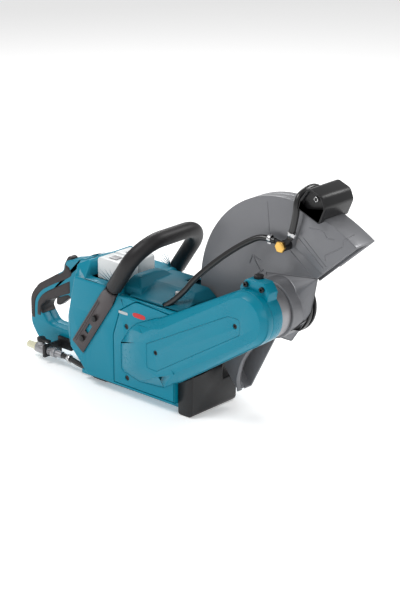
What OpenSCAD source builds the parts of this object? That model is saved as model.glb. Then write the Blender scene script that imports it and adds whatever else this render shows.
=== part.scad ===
// Cordless 14 inch rescue saw, without its cutting wheel.
// The origin is the centre of the wheel seat: the spindle axis is Y, +X points
// from the rear handle to the wheel guard, and +Z is up. Lengths are in mm.

/* [Overall] */
// Height of the spindle axis above the ground
spindle_h = 220; // [212:1:264]
// Reach from the spindle axis back to the rear of the handle
rear_reach = 580; // [560:1:700]
// Width of the main housing
housing_w = 160; // [156:1:200]
// Thickness of the moulded walls
wall = 3.2; // [2.4:0.1:4]

/* [Guard] */
// Outer radius of the wheel guard
guard_r = 184; // [182:1:222]
// Width of the wheel guard over its side plates
guard_w = 35; // [32:1:44]
// Thickness of the guard's sheet metal
guard_t = 3; // [2:0.1:4]
// Angle of the guard's front opening edge above the horizontal
guard_front_a = 41; // [30:1:50]
// Angle of the guard's rear opening edge
guard_rear_a = 242.5; // [235:0.5:246]

/* [Drive] */
// Distance from the spindle to the motor shaft
arm_length = 203; // [196:1:244]
// Slope of the drive arm
arm_angle = 30.5; // [28:0.5:33]
// Radius of the wheel seat on the inner flange
seat_r = 12.7; // [10:0.05:15]
// Radius of the spindle journals
spindle_r = 10; // [8:0.5:11]
// Radius of the wheel flanges
flange_r = 52; // [44:1:60]
// Radius of the belt pulley on the spindle
spindle_pulley_r = 30; // [24:1:33]
// Radius of the belt pulley on the motor
motor_pulley_r = 22; // [18:1:30]
// Outer radius of the motor's stator
stator_r = 40; // [34:1:41]

/* [Handles] */
// Radius of the front handle's steel tube
tube_r = 11.5; // [9.5:0.5:12.5]
// Thickness of the rubber sleeve on the front handle
sleeve_t = 2.8; // [2:0.2:4]
// Slope of the front handle's plane
tube_tilt = 55; // [52:1:58]
// Width of the rear handle
handle_w = 34; // [30:1:40]

/* [Battery] */
// Width of one battery pack
pack_w = 39.5; // [33:0.5:40]
// Length of one battery pack along the saw
pack_l = 64; // [54:1:66]
// Height of one battery pack
pack_h = 124; // [104:1:130]
// Clearance of a pack in its bay
pack_gap = 0.6; // [0.4:0.1:1]

/* [Water] */
// Radius of the water hoses
hose_r = 5.2; // [4.4:0.1:5.6]
// Radius of the inlet nipple's spigot
nipple_r = 6.5; // [5:0.1:7.5]

/* [Hidden] */
$fn = 48;
fit = 0.3;            // gap between bodies that move past each other
nip = 0.05;           // how far a flat stops short of touching a round it meets
run = 0.05;           // radial clearance of a running fit
turn_gap = 0.35;       // round the hose that the turning guard's clamp holds
far = 900;            // longer than anything here
ground = -spindle_h;
mid_y = -30;          // middle plane of the housing, from the wheel's plane
near_y = mid_y - housing_w / 2;
far_y = mid_y + housing_w / 2;
split_y = -34;        // where the two housing halves and the handle's middle meet
rear_x = -rear_reach;

// Stations along the housing
body_rear_x = rear_x + 120;
bay_x0 = body_rear_x + 80;
bay_rear = wall + 8;    // wall of the tray behind the packs
bay_x1 = bay_x0 + bay_rear + pack_l + 2 * pack_gap + wall;
deck_z = -20;         // top edge of the housing beside the battery bay
cover_z = -30;        // deck under the top cover
body_z0 = ground + 20;
pan_z0 = ground + 12;
block_x0 = -164;
block_z1 = -136;
seam = 1.6;           // open seam around the side cover
screw_r = 2.2;
screw_at = [[body_rear_x + 22, -60], [body_rear_x + 26, body_z0 + 44], [rear_x + 13, -150]];
cover_screw_l = 2 * wall + 2;
cover_screw_r = 2.5;
cover_screw_at = [[-274, -84], [-274, ground + 40]];
button_at = [-188, -70];

// Drive
motor = [-arm_length * cos(arm_angle), -arm_length * sin(arm_angle)];
arm_y0 = near_y - 13; // outer face of the arm
arm_y1 = -99;         // joint between the arm's cover and its base
arm_y2 = -75;         // inner face of the arm's base
arm_front_r = 48;
arm_rear_r = 57;
arm_bevel = 9;
arm_root_bevel = 18;
belt_y0 = -97;
belt_y1 = -87;
belt_t = 4;
case_y1 = -14.2;      // guard end of the bearing case
case_r = 34;
ring_r = 46;
bearing_r = 21;
bearing_w = 12;
rotor_r = 24.4;
shaft_r = 7;
motor_y0 = arm_y2;
motor_y1 = -24;
flange_gap = 2.25;    // half the wheel thickness that the seat takes
arm_screw_at = [[-15, -14], motor + [-19, -5]];
arm_screw_r = 2.5;
ear_bolt_at = [[24, 53], [-10, 55]];
retainer_screw_at = 28;

// Guard
hub_r = 50;
front_blend = 75;     // where the guard's outline starts to flare at the front
front_flare = 200;
rear_blend = 200;
rear_flare = 150;
sweep_r = guard_r + 28;
band_t = 3;           // thickness of the front hood's walls
hood_w = guard_w + 15;
hood_a1 = 75;
hood_in_r = 116;
grip_a = 69;          // angle of the guard's grip
grip_w = 75;
tee = [9, 107];       // banjo bolt on the guard, X and Z
tee_l = 17;           // length of the hose union over the guard's plate
tee_y = guard_w / 2 + 12;
cross_r = hose_r * 1.1;

// Front handle
foot = [bay_x0 + 31, -87];   // upper bolt of the front handle's near foot, X and Z
foot_t = 3;
tube_near_y = near_y - foot_t / 2;
tube_far_y = far_y + foot_t / 2;
tube_top = 194;
tube_bend = 52;
foot_w = 32;
bolt_v = [0, -55];    // bolts of each foot, along the slope
bolt_l = 16;
bolt_r = 4;
bolt_head = [5.6, 3.6];

// Rear handle
rubber_t = 3;
pivot_r = 2;
trigger_pivot = [body_rear_x - 20, -82];
lock_pivot = [body_rear_x - 21, -38];

// Battery packs
pack_y0 = -85;
pack_pitch = pack_w + 2 * pack_gap + 1.2;
pack_z1 = 16;
pack_z0 = pack_z1 - pack_h;
pack_x0 = bay_x0 + bay_rear + pack_gap;
terminal_h = 22;

// Water line
line_y = near_y + 27;
line_z = ground + 24;
valve = [rear_x + 60, line_y, line_z];  // middle of the stop valve
nipple_l = 22;
handle_near = split_y - handle_w / 2;

// Hose routes: points chosen by hand, [x, y, z]
upper_route = [[-201, -97, -36], [-194, -98, -31], [-182, -97, -20], [-163, -92, -5], [-147, -85, 18],
    [-133, -77, 37], [-104, -63, 65], [-77, -49, 90], [-48, -38, 108], [-25, -30.5, 117], [-8, -29.5, 112]];
cross_route = [[24, -30, 124], [29, -32, 138], [36, -33, guard_r - 24], [37.5, -33, guard_r - 6],
    [37.5, -31, guard_r + 8], [39, -22, guard_r + 17], [39, -8, guard_r + 21], [38, 8, guard_r + 21],
    [37, 22, guard_r + 17], [36, 32, guard_r + 6], [32, 33, guard_r - 14], [29, 32, 138], [24, 30, 124]];
lower_route = [[valve.x + 56, line_y, line_z], [body_rear_x + 12, line_y, line_z],
    [body_rear_x + 28, line_y - 1, line_z - 4], [body_rear_x + 55, line_y - 2, line_z - 6],
    [bay_x1 - 70, line_y - 5, line_z - 6.5], [bay_x1 - 35, line_y - 12, line_z - 6],
    [bay_x1 - 5, line_y - 15, line_z - 4], [bay_x1 + 20, line_y - 15, line_z + 1], [-262, -97, -180],
    [-254, -97, -160], [-250, -97, -130], [-248, -97, -100], [-240, -97, -72], [-226, -97, -54],
    [-210, -97, -43], [-202, -97, -37]];

// ---- Shared geometry ----
function unit(v) = v / norm(v);
function ray(a, r = 1) = [r * cos(a), r * sin(a)];
function flat(p) = [p.x, p.y];

// One corner of a rounded outline: an arc of radius r at p1 between p0 and p2
function corner(p0, p1, p2, r, n) =
    let (a = unit(p0 - p1), b = unit(p2 - p1), half = acos(a * b) / 2,
        d = min(r / tan(half), 0.48 * norm(p0 - p1), 0.48 * norm(p2 - p1)),
        rr = d * tan(half), c = p1 + unit(a + b) * rr / sin(half),
        s = p1 + a * d, e = p1 + b * d, a0 = atan2(s.y - c.y, s.x - c.x),
        turn = atan2(e.y - c.y, e.x - c.x) - a0,
        sweep = turn > 180 ? turn - 360 : turn < -180 ? turn + 360 : turn)
    r == 0 ? [p1] : [for (i = [0:n]) c + rr * ray(a0 + sweep * i / n)];

// An outline [x, z, corner radius] with its corners rounded
function rounded(pts, n = 5) = let (k = len(pts))
    [for (i = [0:k - 1]) each corner(flat(pts[(i + k - 1) % k]), flat(pts[i]),
        flat(pts[(i + 1) % k]), pts[i].z, n)];

// The same outline moved inwards by d; the points run anticlockwise
function inset(pts, d) = let (k = len(pts))
    [for (i = [0:k - 1]) let (p = flat(pts[i]), a = unit(p - flat(pts[(i + k - 1) % k])),
        b = unit(flat(pts[(i + 1) % k]) - p), na = [-a.y, a.x], nb = [-b.y, b.x],
        q = p + (na + nb) * d / (1 + na * nb)) [q.x, q.y, max(pts[i].z - d, 0)]];

// An X-Z outline carried along Y from y0 to y1
module along_y(y0, y1) {
    translate([0, y1, 0])
        rotate([90, 0, 0])
            linear_extrude(y1 - y0)
                children();
}

// A round bar along Y
module bar_y(p, y0, y1, r) {
    along_y(y0, y1)
        translate(p)
            circle(r);
}

// A round bar along Z
module bar_z(p, z0, z1, r) {
    translate([p.x, p.y, z0])
        cylinder(h = z1 - z0, r = r);
}

module ring_y(p, y0, y1, r, bore) {
    difference() {
        bar_y(p, y0, y1, r);
        bar_y(p, y0 - 1, y1 + 1, bore);
    }
}

module block(lo, hi) {
    translate(lo)
        cube(hi - lo);
}

// Two circles and the straight tangents between them, from the spindle to the motor
module arm_outline(front_r, rear_r) {
    phi = 180 + arm_angle;
    b = acos((front_r - rear_r) / arm_length);
    circle(front_r);
    translate(motor)
        circle(rear_r);
    polygon([ray(phi - b, front_r - nip), motor + ray(phi - b, rear_r - nip), motor + ray(phi + b,
        rear_r - nip),
        ray(phi + b, front_r - nip)]);
}

// A wedge of the X-Z plane between two angles
module sector(a0, a1, r = far) {
    steps = ceil((a1 - a0) / 60);
    polygon([[0, 0], each [for (i = [0:steps]) ray(a0 + (a1 - a0) * i / steps, r)]]);
}

// A tube swept along a smooth path through points, as one polyhedron
function bez(p, q, r, t) = (1 - t) * (1 - t) * p + 2 * t * (1 - t) * q + t * t * r;
function smooth(pts, n) = let (k = len(pts)) [pts[0],
    each [for (i = [1:k - 2]) let (a = i == 1 ? pts[0] : (pts[i - 1] + pts[i]) / 2,
        b = i == k - 2 ? pts[k - 1] : (pts[i] + pts[i + 1]) / 2)
        each [for (j = [1:n]) bez(a, pts[i], b, j / n)]]];
function tangent(path, i) = unit(path[min(i + 1, len(path) - 1)] - path[max(i - 1, 0)]);
function side_of(t, last) = unit(last - (last * t) * t);
function frames(path, i, last, out) = i == len(path) ? out :
    let (s = side_of(tangent(path, i), last)) frames(path, i + 1, s, [each out, s]);

module swept_tube(pts, r, sides = 10, n = 3) {
    path = smooth(pts, n);
    t0 = tangent(path, 0);
    first = side_of(t0, abs(t0.z) < 0.9 ? [0, 0, 1] : [1, 0, 0]);
    sides_at = frames(path, 0, first, []);
    k = len(path);
    ring = [for (i = [0:k - 1]) let (s = sides_at[i], u = cross(tangent(path, i), s))
        each [for (j = [0:sides - 1]) path[i] + r * (cos(360 * j / sides) * s + sin(360 * j / sides) * u)]];
    walls = [for (i = [0:k - 2]) each [for (j = [0:sides - 1])
        [i * sides + j, (i + 1) * sides + j, (i + 1) * sides + (j + 1) % sides,
            i * sides + (j + 1) % sides]]];
    polyhedron(ring, [[for (j = [0:sides - 1]) j], each walls,
        [for (j = [sides - 1:-1:0]) (k - 1) * sides + j]]);
}

// ---- Housing ----
body_side = [[-128, body_z0, 0], [-128, -110, 12], [-140, cover_z, 6], [bay_x1 + 10, cover_z, 2],
    [bay_x1 + 4, deck_z, 3], [bay_x0 + 4, deck_z, 3], [bay_x0 - 6, deck_z + 28, 6],
    [body_rear_x + 42, deck_z + 11, 16], [body_rear_x, deck_z, 10], [body_rear_x, body_z0 + 52, 30],
    [body_rear_x + 50, body_z0, 26]];
body_plan = [[-100, near_y, 0], [-100, far_y, 0], [body_rear_x + 40, far_y, 16],
    [body_rear_x, split_y + 24, 12], [body_rear_x, split_y - 24, 12], [body_rear_x + 40, near_y, 16]];
body_front = [[near_y, ground, 0], [far_y, ground, 0], [far_y, deck_z - 2, 8], [far_y - 36,
    deck_z + 34, 12],
    [near_y + 36, deck_z + 34, 12], [near_y, deck_z - 2, 8]];
handle_side = [[body_rear_x + 30, ground + 22, 0], [body_rear_x + 30, deck_z + 8, 0],
    [body_rear_x - 22, deck_z - 6, 10], [body_rear_x - 32, deck_z - 28, 14],
    [rear_x + 22, -88, 26], [rear_x, -116, 28], [rear_x, ground + 50, 28], [rear_x + 20, ground + 22, 22]];
handle_hole = [[body_rear_x - 12, ground + 58, 16], [body_rear_x - 12, -88, 8],
    [rear_x + 42, -116, 12], [rear_x + 27, -130, 12], [rear_x + 27, ground + 82, 18],
    [rear_x + 46, ground + 58, 18]];
side_window = [[-139, -34, 0], [-155, -38, 8], [-202, -34, 20], [-252, -32, 24], [-290, -57, 14],
    [-307, -106, 12], [-307, body_z0 + 4, 0], [-139, body_z0 + 4, 0]];
// An outline [y, z] carried along the saw
module along_x(x0, x1) {
    translate([x0, 0, 0])
        rotate([90, 0, 90])
            linear_extrude(x1 - x0)
                children();
}

rear_cuts = [[-112, -10.9, 0], [-112, 7, 0], [-158, 38, 5.6]];  // height, lean and depth

// Sloping facets on the two rear corners of the body
module rear_corner(side, d) {
    for (c = rear_cuts)
        translate([body_rear_x + 38, side < 0 ? near_y : far_y, c.x])
            rotate([0, 0, side * 142.4])
                rotate([0, c.y, 0])
                    translate([-d - c.z, -far, -far])
                        cube(2 * far);
}

module body_shape(d) {
    difference() {
        intersection() {
            along_y(near_y + d, far_y - d)
                polygon(rounded(inset(body_side, d)));
            translate([0, 0, -far / 2])
                linear_extrude(far)
                    polygon(rounded(inset(body_plan, d)));
            along_x(-far, 0)
                polygon(rounded(inset(body_front, d)));
        }
        for (side = [-1, 1])
            rear_corner(side, d);
    }
}

module handle_shape(d, y0, y1) {
    along_y(y0, y1)
        difference() {
            polygon(rounded(inset(handle_side, d)));
            polygon(rounded(inset(handle_hole, -d)));
        }
}

// Space that the arm, the guard's sweep, the base block and the motor take
module housing_cuts() {
    housing_cuts_round();
    block([block_x0, near_y - 1, ground - 1], [-90, far_y + 1, block_z1]);
}

// Hollows for the motor, the controller, the battery bay and the water hose
module housing_hollow() {
    difference() {
        intersection() {
            body_shape(wall);
            union() {
                block([bay_x1 + 1, near_y, ground], [-130, far_y, far]);
                block([body_rear_x, near_y, ground], [bay_x0 - wall, far_y, far]);
                block([bay_x0 - wall - 1, near_y, ground], [bay_x1 + 2, far_y, pack_z0 - 3 * wall]);
            }
            difference() {
                block([-far, near_y - 1, ground - 1], [0, far_y + 1, far]);
                bar_y([0, 0], -guard_w / 2 - 3.2 - wall, far_y + 1, sweep_r + wall);
            }
        }
        block([block_x0 - wall, near_y, ground], [-90, far_y, block_z1 + wall]);
        cover_ledge();
    }
    block([bay_x0, pack_y0 - pack_gap - wall, pack_z0 - 2 * wall], [bay_x1,
        pack_y0 + 2 * pack_pitch + wall, far]);
}

// The plate behind the side cover that its screws bite into
module cover_ledge() {
    along_y(near_y, near_y + 2 * wall)
        difference() {
            polygon(rounded(inset(side_window, -6)));
            polygon(rounded(inset(side_window, 28)));
        }
}

module trigger_slot() {
    along_y(split_y - 6.5, split_y + 6.5)
        polygon([[body_rear_x - 14, -128], [body_rear_x - 14, -66], [body_rear_x - 29, -60],
            [body_rear_x - 56, -72],
            [body_rear_x - 70, -90], [body_rear_x - 70, -128]]);
    block([body_rear_x - 44, split_y - 8.5, -56], [body_rear_x - 15.5, split_y + 8.5, -10]);
    for (p = [trigger_pivot, lock_pivot])
        bar_y(p, split_y - 11, split_y + 11, pivot_r);
}

module housing_half(y0, y1) {
    difference() {
        intersection() {
            union() {
                body_shape(0);
                handle_shape(0, split_y - handle_w / 2, split_y + handle_w / 2);
            }
            block([-far, y0, ground], [0, y1, far]);
        }
        housing_cuts();
        housing_hollow();
        trigger_slot();
        handle_rubber_seats();
        handle_legs();
        along_y(near_y - 1, far_y + 1)
            polygon([[-139, cover_z], [bay_x1 + 10, cover_z], [bay_x1 + 10, far], [-139, far]]);
        for (p = screw_at)
            bar_y(p, split_y - 14, far_y + 1, screw_r);
        for (p = screw_at)
            bar_y(p, split_y + 12, far_y + 1, 2 * screw_r);
    }
}

// Room for the lower legs of the front handle and the shanks of its bolts
module handle_legs() {
    slope_frame() {
        for (u = [0, tube_far_y - tube_near_y])
            translate([u, 0, 0]) {
                leg_taper();
                translate([0, 78, 0])
                    rotate([-90, 0, 0])
                        cylinder(h = 40, r = tube_r);
                translate([0, 84, 0])
                    rotate([-90, 0, 0])
                        cylinder(h = 40, r = tube_r + sleeve_t);
            }
        for (v = bolt_v)
            translate([0, v, 0])
                rotate([0, 90, 0]) {
                    cylinder(h = bolt_l, r = bolt_r);
                    translate([0, 0, tube_far_y - tube_near_y - bolt_l])
                        cylinder(h = bolt_l, r = bolt_r);
                }
    }
}

module housing_right() {
    color("teal")
        difference() {
            housing_half(near_y - 1, split_y);
            along_y(near_y - 1, near_y + wall)
                polygon(rounded(side_window));
            for (p = cover_screw_at)
                bar_y(p, near_y, near_y + cover_screw_l, cover_screw_r);
            swept_tube(lower_route, hose_r + 1.2, 8, 2);
            swept_tube(upper_route, hose_r + 1.2, 8, 2);
        }
}

module housing_left() {
    color("teal")
        housing_half(split_y, far_y + 1);
}

module side_cover() {
    color("teal")
        difference() {
            along_y(near_y, near_y + wall)
                polygon(rounded(inset(side_window, seam)));
            housing_cuts();
            for (p = cover_screw_at) {
                bar_y(p, near_y - 1, near_y + wall + 1, cover_screw_r);
                bar_y(p, near_y - 1, near_y + 2.2, 4.9);
            }
            swept_tube(upper_route, hose_r + 1.2, 8, 2);
        }
}

top_side = [[-142, cover_z, 0], [-142, -20, 6], [-160, -7, 14], [bay_x1 + 30, -7, 0], [bay_x1 + 30,
    cover_z, 0]];
top_front = [[near_y + 6, cover_z, 0], [far_y - 6, cover_z, 0], [far_y - 6, cover_z + 4, 3],
    [far_y - 50, -6, 30],
    [near_y + 56, -6, 30], [near_y + 6, cover_z + 4, 3]];
ridge_side = [[bay_x1 + 52, cover_z, 0], [bay_x1 + 50, -12, 8], [bay_x1 + 38, 6, 7], [bay_x1 + 24, 6, 8],
    [bay_x1 + 10, -14, 8], [bay_x1 + 10, cover_z, 0]];
ridge_front = [[near_y + 13.5, cover_z, 0], [far_y - 34, cover_z, 0], [far_y - 58, -12, 14],
    [far_y - 76, 2, 14],
    [near_y + 50, 7, 20], [near_y + 24, 5, 12], [near_y + 13.5, -14, 10]];

// The flat panel over the motor and the arched ridge in front of the batteries
module top_shape(d) {
    intersection() {
        along_y(near_y, far_y)
            polygon(rounded(inset(top_side, d)));
        along_x(-far, 0)
            polygon(rounded(inset(top_front, d)));
    }
    intersection() {
        along_y(near_y, far_y)
            polygon(rounded(inset(ridge_side, d)));
        along_x(-far, 0)
            polygon(rounded(inset(ridge_front, d)));
    }
}

module top_cover() {
    color("darkcyan")
        difference() {
            top_shape(0);
            difference() {
                translate([0, 0, -0.1])
                    top_shape(wall);
                bar_z(button_at, cover_z, 40, 9);
            }
            block([bay_x1 + 10 + wall, near_y + 12 + wall, cover_z - 1], [-142 - wall,
                far_y - 40 - wall, cover_z + wall]);
            bar_y([0, 0], -guard_w / 2 - 5, far_y, sweep_r + 4);
            bar_z(button_at, cover_z - 1, 40, 5.6);
            along_y(arm_y0 - 1, arm_y2 + 0.5)
                arm_outline(arm_front_r + 0.5, arm_rear_r + 0.5);
            swept_tube(upper_route, hose_r + 1.2, 8, 2);
        }
}

module power_button() {
    color("gray") {
        bar_z(button_at, cover_z + 7, -9.5, 5.2);
        bar_z(button_at, cover_z + 4, cover_z + 7, 5.4);
    }
}

module bottom_pan() {
    color("teal")
        difference() {
            block([body_rear_x + 60, near_y + 13, pan_z0], [block_x0, far_y - 13, body_z0]);
            block([body_rear_x + 64, near_y + 17, pan_z0 + 3], [block_x0 - 4, far_y - 17, body_z0 + 1]);
            swept_tube(lower_route, hose_r + 1.2, 8, 2);
        }
}

module base_block() {
    color("dimgray")
        difference() {
            along_y(-99, 17)
                polygon(rounded([[block_x0, ground, 6], [-131, ground, 10], [-128, block_z1, 8],
                    [block_x0, block_z1, 0]]));
            housing_cuts_round();
        }
}

module housing_cuts_round() {
    along_y(arm_y0 - 1, arm_y2)
        arm_outline(arm_front_r, arm_rear_r);
    bar_y([0, 0], -guard_w / 2 - 3.2, far_y + 1, sweep_r);
    bar_y(motor, motor_y0, motor_y1, stator_r + wall);
}

module rear_feet() {
    color("dimgray")
        for (y = [near_y + 30, far_y - 60])
            along_y(y, y + 30)
                polygon(rounded([[body_rear_x + 70, ground, 4], [body_rear_x + 108, ground, 4],
                    [body_rear_x + 104, pan_z0, 0], [body_rear_x + 66, pan_z0, 0]]));
}

// A socket-head screw whose head starts at y
module screw(p, y, r, head_r, head_l, length) {
    difference() {
        union() {
            bar_y(p, y, y + head_l, head_r);
            bar_y(p, y + head_l - 0.1, y + length, r);
        }
        along_y(y - 1, y + head_l * 0.7)
            translate(p)
                circle(head_r * 0.5, $fn = 6);
    }
}

module housing_screws() {
    color("gray") {
        for (p = cover_screw_at)
            screw(p, near_y + 1.2, cover_screw_r, 4.6, 1, cover_screw_l - 1.2);
        for (p = screw_at) {
            bar_y(p, split_y - 14, split_y + 12.1, screw_r);
            bar_y(p, split_y + 12, split_y + 14.5, 1.7 * screw_r);
        }
    }
}

// ---- Rear handle ----
// The stretch of the handle that carries the rubber
module rubber_stretch() {
    difference() {
        block([-far, split_y - handle_w, ground], [body_rear_x - 44, split_y + handle_w, far]);
        block([-far, -far, ground], [rear_x + 60, far, ground + 66]);
        block([rear_x + 18, -far, ground], [0, far, ground + 76]);
    }
}

module handle_rubber_seats() {
    intersection() {
        difference() {
            handle_shape(-1, split_y - handle_w / 2 - 1, split_y + handle_w / 2 + 1);
            handle_shape(rubber_t, split_y - handle_w / 2 - 2, split_y + handle_w / 2 + 2);
        }
        rubber_stretch();
    }
}

module rubber_band(front) {
    difference() {
        intersection() {
            handle_shape(0, split_y - handle_w / 2, split_y + handle_w / 2);
            rubber_stretch();
            along_y(split_y - handle_w, split_y + handle_w)
                if (front)
                    polygon(rounded(inset(handle_hole, -rubber_t)));
                else
                    difference() {
                        polygon(rounded(inset(handle_side, -1)));
                        polygon(rounded(inset(handle_side, rubber_t)));
                    }
        }
        trigger_slot();
    }
}

module handle_rubber_back() {
    color("dimgray")
        rubber_band(false);
}

module handle_rubber_front() {
    color("dimgray")
        rubber_band(true);
}

module trigger() {
    color("black")
        difference() {
            along_y(split_y - 6, split_y + 6)
                polygon(rounded([[body_rear_x - 17, -96, 4], [body_rear_x - 16, -78, 4],
                    [body_rear_x - 26, -77, 4],
                    [body_rear_x - 60, -102, 4], [body_rear_x - 64, -124, 8], [body_rear_x - 52, -122, 12],
                    [body_rear_x - 30, -104, 14]]));
            bar_y(trigger_pivot, split_y - 7, split_y + 7, pivot_r + run);
        }
}

module trigger_switch() {
    color("black") {
        along_y(split_y - 6.5, split_y + 6.5)
            polygon([[body_rear_x - 29, -75.5], [body_rear_x - 53, -88.5], [body_rear_x - 53, -71],
                [body_rear_x - 29, -60]]);
        for (p = [trigger_pivot, lock_pivot])
            bar_y(p, split_y - 11, split_y + 11, pivot_r);
    }
}

module lock_off_lever() {
    color("dimgray")
        difference() {
            along_y(split_y - 8, split_y + 8)
                polygon(rounded([[body_rear_x - 17, -44, 2], [body_rear_x - 17, -22, 3],
                    [body_rear_x - 26, -20, 5],
                    [body_rear_x - 37, -38, 5], [body_rear_x - 39, -48, 3], [body_rear_x - 32, -52, 3]]));
            bar_y(lock_pivot, split_y - 9, split_y + 9, pivot_r + run);
        }
}

// ---- Electrics ----
module control_board() {
    color("darkslategray") {
        difference() {
            block([-292, -84, body_z0 + 22], [-234, -36, body_z0 + 98]);
            block([-288, -80, body_z0 + 26], [-233, -40, body_z0 + 94]);
        }
        block([-288, -78, body_z0 + 28], [-284, -42, body_z0 + 92]);
        for (i = [0:3], z = [-160, -146])
            bar_x([0, -73 + 9 * i, z], -285, -262, 3.9);
    }
}

module battery_tray() {
    color("black")
        difference() {
            block([bay_x0, pack_y0 - pack_gap - wall, pack_z0 - 2 * wall],
                [bay_x1, pack_y0 + 2 * pack_pitch + wall, deck_z - 1]);
            for (i = [0, 1])
                pack_space(i, pack_gap);
        }
}

module pack_space(i, d) {
    block([pack_x0 - d, pack_y0 + i * pack_pitch - d, pack_z0 - d],
        [pack_x0 + pack_l + d, pack_y0 + i * pack_pitch + pack_w + d, far]);
}

module battery_terminals() {
    color("gold")
        for (i = [0, 1], k = [0:2])
            block([pack_x0 + 12 + 14 * k, pack_y0 + i * pack_pitch + 10, pack_z0 - pack_gap],
                [pack_x0 + 13 + 14 * k, pack_y0 + i * pack_pitch + 30, pack_z0 - pack_gap + terminal_h]);
}

module pack(i) {
    y = pack_y0 + i * pack_pitch;
    difference() {
        union() {
            block([pack_x0, y, pack_z0], [pack_x0 + pack_l, y + pack_w, pack_z1 - 12]);
            along_y(y, y + pack_w)
                polygon(rounded([[pack_x0, pack_z1 - 12, 0], [pack_x0 + pack_l, pack_z1 - 12, 0],
                    [pack_x0 + pack_l, pack_z1, 9], [pack_x0, pack_z1, 9]]));
        }
        for (k = [0:2])
            block([pack_x0 + 10.5 + 14 * k, y + 8, pack_z0 - 1], [pack_x0 + 14.5 + 14 * k, y + 32,
                pack_z0 + terminal_h + 1]);
        block([pack_x0 + 18, y + pack_w / 2 - 8, pack_z1 - 8], [pack_x0 + 36, y + pack_w / 2 + 8,
            pack_z1 + 1]);
    }
}

module pack_button(i) {
    y = pack_y0 + i * pack_pitch + pack_w / 2;
    color("gray")
        block([pack_x0 + 18.4, y - 7.6, pack_z1 - 4.5], [pack_x0 + 35.6, y + 7.6, pack_z1 + 0.5]);
}

module battery_right() {
    color("whitesmoke")
        pack(0);
}

module battery_left() {
    color("whitesmoke")
        pack(1);
}

module battery_button_right() {
    pack_button(0);
}

module battery_button_left() {
    pack_button(1);
}

// ---- Motor and belt drive ----
module motor_case() {
    color("silver")
        difference() {
            bar_y(motor, motor_y0, motor_y1, stator_r + wall);
            bar_y(motor, motor_y0 + 10, motor_y1 - 10, stator_r);
            bar_y(motor, motor_y0 - 1, motor_y1 + 1, 13);
        }
}

module motor_stator() {
    color("orangered")
        difference() {
            ring_y(motor, motor_y0 + 10, motor_y1 - 10, stator_r, rotor_r + 0.5);
            for (a = [0:30:330])
                along_y(motor_y0 + 9, motor_y1 - 9)
                    translate(motor + ray(a, rotor_r + 8))
                        circle(2.6);
        }
}

module motor_rotor() {
    color("gray")
        union() {
            bar_y(motor, motor_y0 + 12.4, motor_y1 - 14.4, rotor_r);
            bar_y(motor, belt_y0 - 2, motor_y1 - 1, shaft_r);
        }
}

module motor_bearings() {
    color("silver") {
        ring_y(motor, motor_y0 + 0.5, motor_y0 + 9, 13, shaft_r + run);
        ring_y(motor, motor_y1 - 9, motor_y1, 13, shaft_r + run);
    }
}

module cooling_fan() {
    color("black")
        difference() {
            union() {
                bar_y(motor, motor_y1 - 14.2, motor_y1 - 12.8, rotor_r);
                for (a = [0:40:320])
                    along_y(motor_y1 - 12.9, motor_y1 - 10.2)
                        translate(motor)
                            rotate(a)
                                translate([12, 0])
                                    square([11.5, 1.4]);
            }
            bar_y(motor, motor_y1 - 15, motor_y1, shaft_r);
        }
}

module pulley(p, r, bore) {
    difference() {
        union() {
            bar_y(p, belt_y0 - 0.4, belt_y1 + 0.4, r);
            bar_y(p, belt_y1 + 0.8, belt_y1 + 2, r + belt_t);
            bar_y(p, belt_y1 + 0.3, belt_y1 + 0.9, r);
        }
        bar_y(p, belt_y0 - 1, belt_y1 + 3, bore);
    }
}

module motor_pulley() {
    color("silver")
        pulley(motor, motor_pulley_r, shaft_r);
}

module spindle_pulley() {
    color("silver")
        pulley([0, 0], spindle_pulley_r, spindle_r);
}

module drive_belt() {
    color("black")
        along_y(belt_y0, belt_y1)
            difference() {
                arm_outline(spindle_pulley_r + fit + belt_t, motor_pulley_r + fit + belt_t);
                arm_outline(spindle_pulley_r + fit, motor_pulley_r + fit);
            }
}

module arm_base() {
    color("teal")
        difference() {
            union() {
                along_y(arm_y1, arm_y2)
                    arm_outline(arm_front_r, arm_rear_r);
                along_y(arm_y1, arm_y2)
                    polygon(rounded([[-24, 30, 0], [34, 30, 0], [37, 48, 6], [26, 63, 6], [-12, 63,
                        6], [-24, 48, 6]]));
            }
            along_y(arm_y1 - 1, arm_y2 - 9)
                arm_outline(arm_front_r - 5, arm_rear_r - 5);
            bar_y([0, 0], arm_y2 - 10, arm_y2 + 1, bearing_r);
            bar_y(motor, arm_y2 - 10, arm_y2 + 1, 14);
            bar_z([0, -80], 0, 80, 3 + fit);
            bar_z([0, -80], 52, 80, 8 + fit);
        }
}

root_base = [[-287, -116, 5], [-287, -168, 8], [-242, -178, 8], [-184, -173, 4], [-148, -150, 0],
    [-160, -36, 0],
    [-205, -51, 12], [-250, -72, 8], [-265, -85, 6]];
root_face = [[-241, -102, 4], [-241, -143, 5], [-187, -150, 4], [-150, -134, 0], [-157, -54, 0],
    [-200, -66, 6],
    [-224, -80, 5]];
arm_panel = [[-214, -96, 3], [-214, -140, 4], [-191, -141, 6], [-3, -26, 8], [-3, 1, 8], [-30, 0, 8]];

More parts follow.
